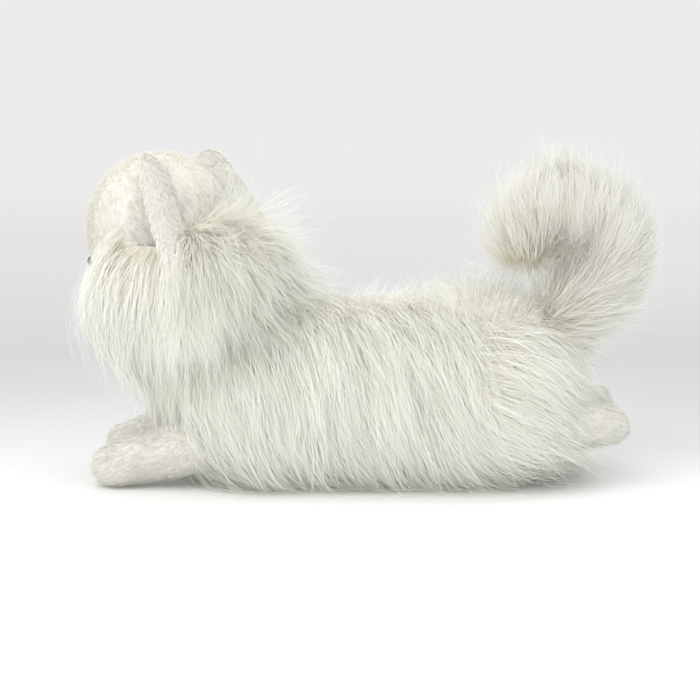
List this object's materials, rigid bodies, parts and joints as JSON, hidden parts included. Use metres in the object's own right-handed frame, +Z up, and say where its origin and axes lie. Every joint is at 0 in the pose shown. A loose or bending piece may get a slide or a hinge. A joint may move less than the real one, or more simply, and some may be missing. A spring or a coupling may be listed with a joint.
{
  "type": "plush dog",
  "caption": "Long-haired white plush dog lying on its belly, with a curled tail, stuffed legs and soft seams that bend and spring back.",
  "frame": {"origin": "middle of the flat belly face that the toy lies on", "axes": "+Z up, -X towards the front paws, +X towards the tail, -Y the dog's own left side"},
  "size_m": [0.4292, 0.1677, 0.2491],
  "materials": {
    "long_fur": "matte",
    "short_fur": "matte",
    "ear_lining": "matte",
    "fibre_fill": "matte",
    "black_plastic": "gloss",
    "clear_plastic": "satin",
    "dark_thread": "matte"
  },
  "bodies": {
    "torso": {"torso_stuffing": "fibre_fill", "torso_left_panel": "long_fur", "torso_right_panel": "long_fur", "belly_panel": "short_fur", "chest_panel": "long_fur"},
    "neck": {"neck_stuffing": "fibre_fill"},
    "head": {"head_stuffing": "fibre_fill", "crown_panel": "short_fur", "left_ruff_panel": "long_fur", "right_ruff_panel": "long_fur", "muzzle_panel": "short_fur", "chin_panel": "short_fur", "nose": "black_plastic", "nose_washer": "clear_plastic", "left_eye": "black_plastic", "right_eye": "black_plastic", "left_eye_washer": "clear_plastic", "right_eye_washer": "clear_plastic", "mouth_stitching": "dark_thread"},
    "left_ear": {"left_ear_back": "short_fur", "left_ear_lining": "ear_lining"},
    "right_ear": {"right_ear_back": "short_fur", "right_ear_lining": "ear_lining"},
    "left_foreleg": {"left_foreleg_cover": "short_fur", "left_foreleg_stuffing": "fibre_fill"},
    "right_foreleg": {"right_foreleg_cover": "short_fur", "right_foreleg_stuffing": "fibre_fill"},
    "left_hindleg": {"left_hindleg_cover": "short_fur", "left_hindleg_stuffing": "fibre_fill"},
    "right_hindleg": {"right_hindleg_cover": "short_fur", "right_hindleg_stuffing": "fibre_fill"},
    "tail": {"tail_cover": "long_fur", "tail_stuffing": "fibre_fill"}
  },
  "joints": [
    {"name": "neck_turn", "type": "hinge", "parent": "torso", "child": "neck", "pos_m": [-0.128, 0, 0.15], "axis": [-0.6018, 0, 0.7986], "range_deg": [-12, 12], "stiffness_Nm_per_rad": 1.2},
    {"name": "head_nod", "type": "hinge", "parent": "neck", "child": "head", "pos_m": [-0.128, 0, 0.15], "axis": [0.6157, 0.788, 0], "range_deg": [-8, 8], "stiffness_Nm_per_rad": 2},
    {"name": "left_ear_fold", "type": "hinge", "parent": "head", "child": "left_ear", "pos_m": [-0.13221, -0.04112, 0.202], "axis": [-0.272, 0.448, 0.8517], "range_deg": [-12, 12], "stiffness_Nm_per_rad": 0.05},
    {"name": "right_ear_fold", "type": "hinge", "parent": "head", "child": "right_ear", "pos_m": [-0.08912, 0.01404, 0.202], "axis": [-0.5005, 0.1555, 0.8516], "range_deg": [-12, 12], "stiffness_Nm_per_rad": 0.05},
    {"name": "left_foreleg_lift", "type": "hinge", "parent": "torso", "child": "left_foreleg", "pos_m": [-0.092, -0.038, 0.036], "axis": [0, 1, 0], "range_deg": [0, 12], "stiffness_Nm_per_rad": 0.6},
    {"name": "right_foreleg_lift", "type": "hinge", "parent": "torso", "child": "right_foreleg", "pos_m": [-0.092, 0.038, 0.036], "axis": [0, 1, 0], "range_deg": [0, 12], "stiffness_Nm_per_rad": 0.6},
    {"name": "left_hindleg_lift", "type": "hinge", "parent": "torso", "child": "left_hindleg", "pos_m": [0.112, -0.04, 0.05], "axis": [0, -1, 0], "range_deg": [-9, 9], "stiffness_Nm_per_rad": 1.5},
    {"name": "right_hindleg_lift", "type": "hinge", "parent": "torso", "child": "right_hindleg", "pos_m": [0.112, 0.04, 0.05], "axis": [0, -1, 0], "range_deg": [-9, 9], "stiffness_Nm_per_rad": 1.5},
    {"name": "tail_wag", "type": "hinge", "parent": "torso", "child": "tail", "pos_m": [0.15, 0, 0.104], "axis": [0, 0, 1], "range_deg": [-15, 15], "stiffness_Nm_per_rad": 0.8}
  ]
}
